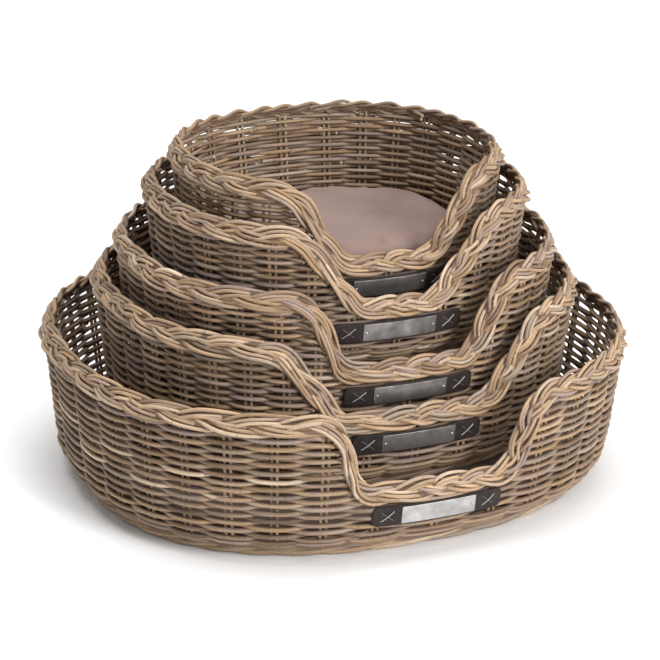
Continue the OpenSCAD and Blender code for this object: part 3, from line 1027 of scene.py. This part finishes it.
def cushion_shape(basket, rings, around=120):
    """Closed oval cushion from rings of height above its underside and inset from its fullest outline."""
    z_full = basket.cushion_bottom - basket.base + FOOT_HEIGHT
    a, b = basket.halves(z_full)
    a, b = a - WALL_HALF - CUSHION_GAP, b - WALL_HALF - CUSHION_GAP
    t = np.arange(around) * 2 * math.pi / around
    points = []
    for height, inset, share in rings:
        x = (a - inset) * share * signed_power(np.cos(t), 2 / OVAL_POWER)
        y = (b - inset) * share * signed_power(np.sin(t), 2 / OVAL_POWER) + CENTRE_SHIFT
        points.append(np.stack([x, y, np.full(around, basket.cushion_bottom + height)], -1))
    return np.concatenate(points), np.concatenate(tube_quads(len(rings), around))


CUSHION_BEND = 17 * MM
CUSHION_BEND_STRETCH = 1.6
CUSHION_MIDDLE = 0.004


def make_cushion(basket, voxel):
    """A stuffed oval pad: swelled by a cloth simulation, then kept inside its CAD space."""
    tall = basket.cushion_top - basket.cushion_bottom
    low, high = 3 * MM, tall - 5 * MM
    bend = CUSHION_BEND
    wide = bend * CUSHION_BEND_STRETCH
    angles = np.radians(np.linspace(0, 90, 5))
    rings = [(low, 0, CUSHION_MIDDLE), (low, wide, 0.35), (low, wide, 0.7)]
    rings += [(low + bend * (1 - math.cos(u)), wide * (1 - math.sin(u)), 1.0) for u in angles]
    rings += [(high - bend * (1 - math.sin(u)), bend * (1 - math.cos(u)), 1.0) for u in angles]
    rings += [(high + 1 * MM, bend, 0.7), (high + 2 * MM, bend, 0.35), (high + 2 * MM, 0, CUSHION_MIDDLE)]
    points, quads = cushion_shape(basket, rings)
    piece = mesh_piece(basket.name + "_stuffed_cushion", points, quads, CLOTH)
    remesh = piece.modifiers.new("remesh", "REMESH")
    remesh.mode = "VOXEL"
    remesh.voxel_size = voxel
    apply_modifiers(piece)
    simulate_cushion(piece)
    settle_cushion(piece, basket)
    piece.data.polygons.foreach_set("use_smooth", [True] * len(piece.data.polygons))
    return piece


def apply_modifiers(piece):
    depsgraph = bpy.context.evaluated_depsgraph_get()
    mesh = bpy.data.meshes.new_from_object(piece.evaluated_get(depsgraph))
    old = piece.data
    piece.modifiers.clear()
    piece.data = mesh
    bpy.data.meshes.remove(old)


def coordinates(mesh):
    values = np.empty(len(mesh.vertices) * 3, np.float32)
    mesh.vertices.foreach_get("co", values)
    return values.reshape(-1, 3).astype(float)


SWELL_LIMIT = 9 * MM
SWELL_FRAMES = 20
SOFT_TOP = 3 * MM


def simulate_cushion(piece):
    """Swells the cushion under pressure, and holds every point within the swell limit."""
    before = coordinates(piece.data)
    cloth = piece.modifiers.new("cloth", "CLOTH")
    settings = cloth.settings
    settings.quality = 5
    settings.mass = 0.3
    settings.use_pressure = True
    settings.uniform_pressure_force = 4
    settings.tension_stiffness = 15
    settings.compression_stiffness = 15
    settings.bending_stiffness = 0.5
    settings.effector_weights.gravity = 0
    cloth.collision_settings.use_self_collision = False
    cloth.point_cache.frame_start, cloth.point_cache.frame_end = 1, SWELL_FRAMES
    scene = bpy.context.scene
    for step in range(1, SWELL_FRAMES + 1):
        scene.frame_set(step)
    apply_modifiers(piece)
    scene.frame_set(1)
    moved = coordinates(piece.data) - before
    far = np.linalg.norm(moved, axis=1)
    scale = np.where(far > SWELL_LIMIT, SWELL_LIMIT / np.maximum(far, 1e-9), 1.0)
    piece.data.vertices.foreach_set("co", (before + moved * scale[:, None]).astype(np.float32).ravel())


def settle_cushion(piece, basket):
    """Flattens the cushion where it rests and where the next basket stands, and adds one subdivision."""
    points = coordinates(piece.data)
    z = points[:, 2]
    low, high = basket.cushion_bottom, basket.cushion_top
    z = np.maximum(z, low)
    over = np.maximum(z - (high - SOFT_TOP), 0)
    z = np.where(over > 0, high - SOFT_TOP + SOFT_TOP * (1 - np.exp(-over / SOFT_TOP)), z)
    points[:, 2] = z
    piece.data.vertices.foreach_set("co", points.astype(np.float32).ravel())
    smooth = piece.modifiers.new("smooth", "SUBSURF")
    smooth.levels = smooth.render_levels = 1
    apply_modifiers(piece)


# ---- Building the nest ----

CUSHION_VOXEL = dict(xl=9 * MM, l=8 * MM, m=8 * MM, s=7 * MM, xs=6 * MM)


def build_nest():
    for basket in BASKETS:
        name, body = basket.name, basket.body
        finish_piece(weave_wall(basket), body, name + "_wall_weave")
        finish_piece(make_stakes(basket), body, name + "_stakes")
        finish_piece(make_rim(basket), body, name + "_rim_border")
        finish_piece(make_foot(basket), body, name + "_foot_border")
        finish_piece(make_floor(basket), body, name + "_floor")
        finish_piece(make_strap(basket), body, name + "_label_strap")
        finish_piece(make_plate(basket), body, name + "_label_plate")
        finish_piece(make_nails(basket), body, name + "_plate_nails")
        finish_piece(make_stitches(basket), body, name + "_stitches")
        cushion = make_cushion(basket, CUSHION_VOXEL[name])
        finish_piece(cushion, "cushion_" + name, name + "_cushion")


build_nest()

# ---- Floor and light ----

STAGE_HALF = 14
WORLD_STRENGTH = 0.46
LIGHTS = dict(
    key=dict(place=(1.9, -4.6, 2.3), target=(0, 0, 0.2), size=2.2, power=215),
    front=dict(place=(0.5, -3.4, 3.9), target=(0, 0, 0.3), size=2.4, power=55),
    top=dict(place=(-0.3, 0.6, 6.4), target=(0, 0.6, 0), size=5.5, power=360),
)


def make_stage():
    m = Nodes("studio_floor")
    place = m.node("ShaderNodeTexCoord").outputs["Object"]
    faint = m.noise(place, 3, 2)
    m.join(m.range(faint, 0.3, 0.7, 0.90, 0.92), m.shader.inputs["Base Color"])
    m.shader.inputs["Roughness"].default_value = 0.9
    corners = [(-1, -1, 0), (1, -1, 0), (1, 1, 0), (-1, 1, 0)]
    points = STAGE_HALF * np.array(corners, float)
    floor = mesh_piece("studio_floor", points, np.array([[0, 1, 2, 3]]), m.material, smooth=False)


def make_area_light(name, place, target, size, power):
    light = bpy.data.objects.new(name, bpy.data.lights.new(name, "AREA"))
    light.data.shape = "DISK"
    light.data.size = size
    light.data.energy = power
    light.location = place
    light.rotation_euler = (Vector(target) - Vector(place)).to_track_quat("-Z", "Y").to_euler()
    bpy.context.scene.collection.objects.link(light)


def make_light():
    world = bpy.data.worlds.new("studio")
    world.use_nodes = True
    world.node_tree.nodes["Background"].inputs["Color"].default_value = (1.0, 1.0, 1.0, 1.0)
    world.node_tree.nodes["Background"].inputs["Strength"].default_value = WORLD_STRENGTH
    bpy.context.scene.world = world
    for name, values in LIGHTS.items():
        make_area_light(name, **values)
    bpy.context.scene.view_settings.view_transform = "Standard"


make_stage()
make_light()
